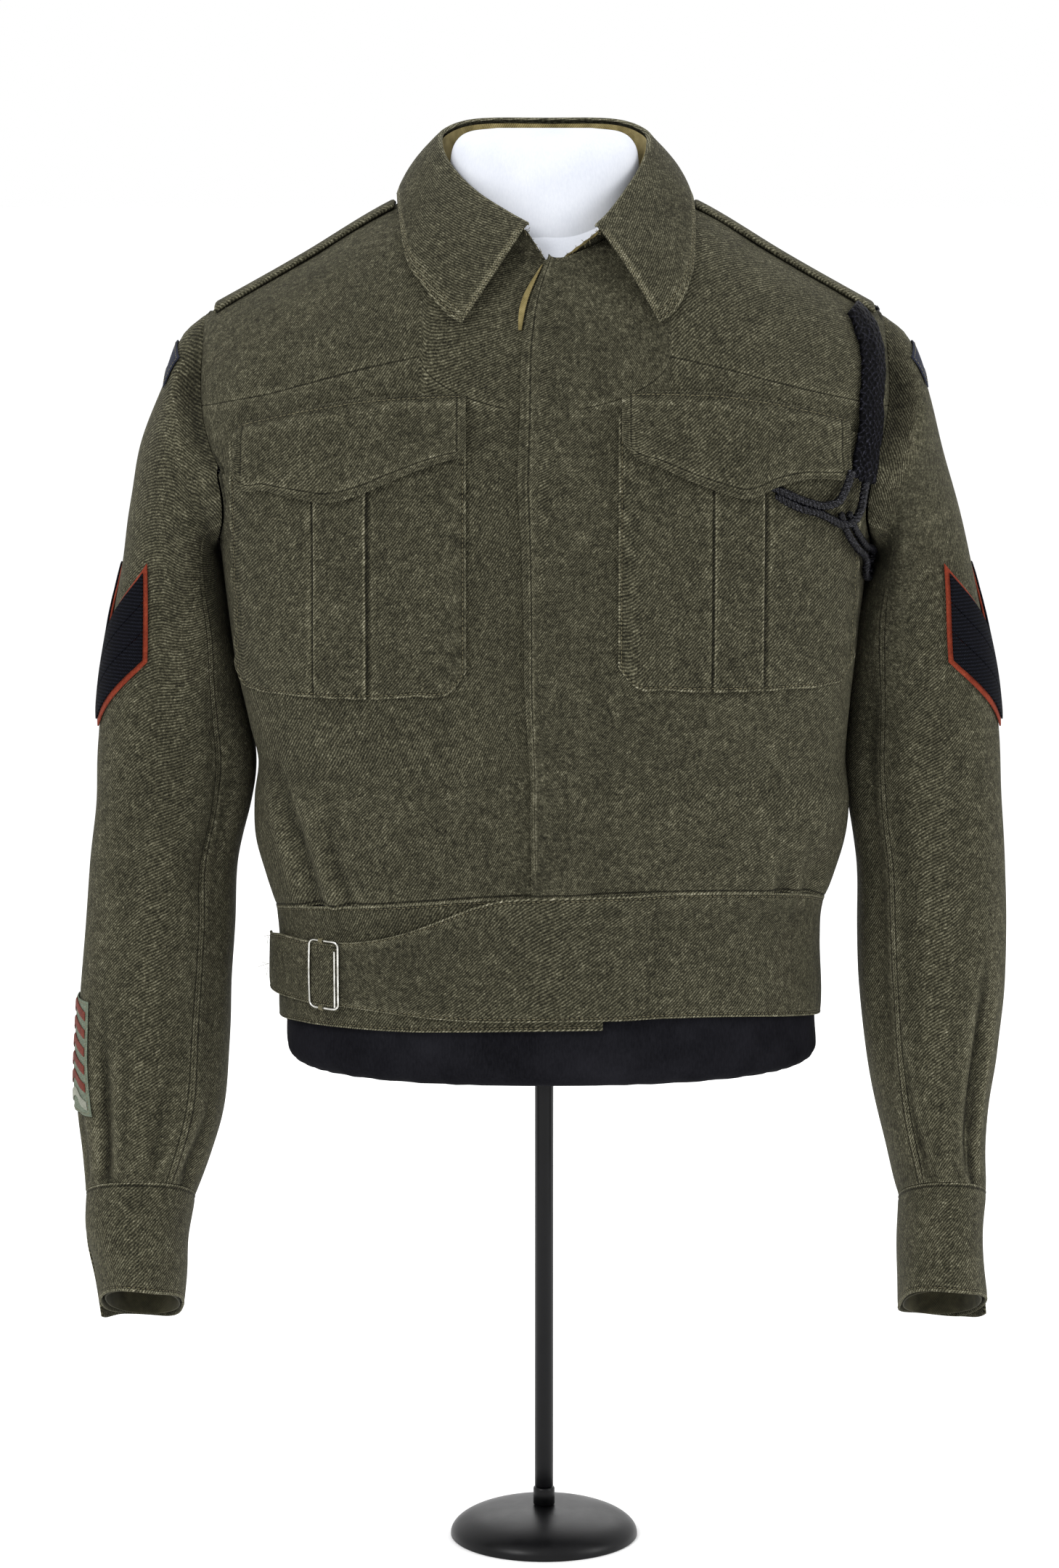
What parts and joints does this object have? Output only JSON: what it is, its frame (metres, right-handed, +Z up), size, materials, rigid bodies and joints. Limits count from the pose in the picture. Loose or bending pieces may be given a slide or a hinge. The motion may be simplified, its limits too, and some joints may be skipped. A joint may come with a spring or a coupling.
{
  "type": "battledress blouse on a dress form",
  "caption": "Short wool battledress blouse with pleated chest pockets, buckled waistband, sleeve chevrons and a lanyard, on a limbless dress form with a pole and round base.",
  "frame": {"origin": "centre of the round base's underside, on the floor", "axes": "+Z up along the pole, +X towards the wearer's left side, -Y towards the front"},
  "size_m": [0.5992, 0.2526, 0.9182],
  "materials": {
    "wool_serge": "brushed wool serge twill, matte",
    "khaki_drill": "cotton drill, matte",
    "black_braid": "braided and ribbed wool, matte",
    "red_felt": "wool felt, matte",
    "maroon_felt": "wool felt, matte",
    "navy_cloth": "wool cloth, matte",
    "grey_green_cloth": "wool cloth, matte",
    "steel_wire": "bright plated wire",
    "white_jersey": "stretched cotton jersey, matte",
    "black_jersey": "stretched cotton jersey, matte",
    "stand_paint": "satin black paint"
  },
  "bodies": {
    "root": {"back": "wool_serge", "belt_tab": "wool_serge", "buckle": "steel_wire", "buckle_bar": "steel_wire", "chevron_backing_left": "red_felt", "chevron_backing_right": "red_felt", "chevron_left_1": "black_braid", "chevron_left_2": "black_braid", "chevron_left_3": "black_braid", "chevron_right_1": "black_braid", "chevron_right_2": "black_braid", "chevron_right_3": "black_braid", "collar_fall": "wool_serge", "collar_lining": "khaki_drill", "collar_stand": "wool_serge", "cuff_left": "wool_serge", "cuff_lining_left": "khaki_drill", "cuff_lining_right": "khaki_drill", "cuff_right": "wool_serge", "fly_lining": "khaki_drill", "form_lower": "black_jersey", "form_torso": "white_jersey", "front_left": "wool_serge", "front_right": "wool_serge", "lanyard_braid": "black_braid", "lanyard_cord_pocket": "black_braid", "lanyard_cord_underarm": "black_braid", "lanyard_knot": "black_braid", "pocket_bag_left": "wool_serge", "pocket_bag_right": "wool_serge", "pocket_flap_left": "wool_serge", "pocket_flap_right": "wool_serge", "service_backing": "grey_green_cloth", "service_bar_1": "maroon_felt", "service_bar_2": "maroon_felt", "service_bar_3": "maroon_felt", "service_bar_4": "maroon_felt", "service_bar_5": "maroon_felt", "service_bar_6": "maroon_felt", "shoulder_strap_left": "wool_serge", "shoulder_strap_right": "wool_serge", "shoulder_title_left": "navy_cloth", "shoulder_title_right": "navy_cloth", "sleeve_top_left": "wool_serge", "sleeve_top_right": "wool_serge", "sleeve_under_left": "wool_serge", "sleeve_under_right": "wool_serge", "stand_base": "stand_paint", "stand_pole": "stand_paint", "stand_socket": "stand_paint", "waistband_back": "wool_serge", "waistband_left": "wool_serge", "waistband_right": "wool_serge"}
  },
  "joints": []
}
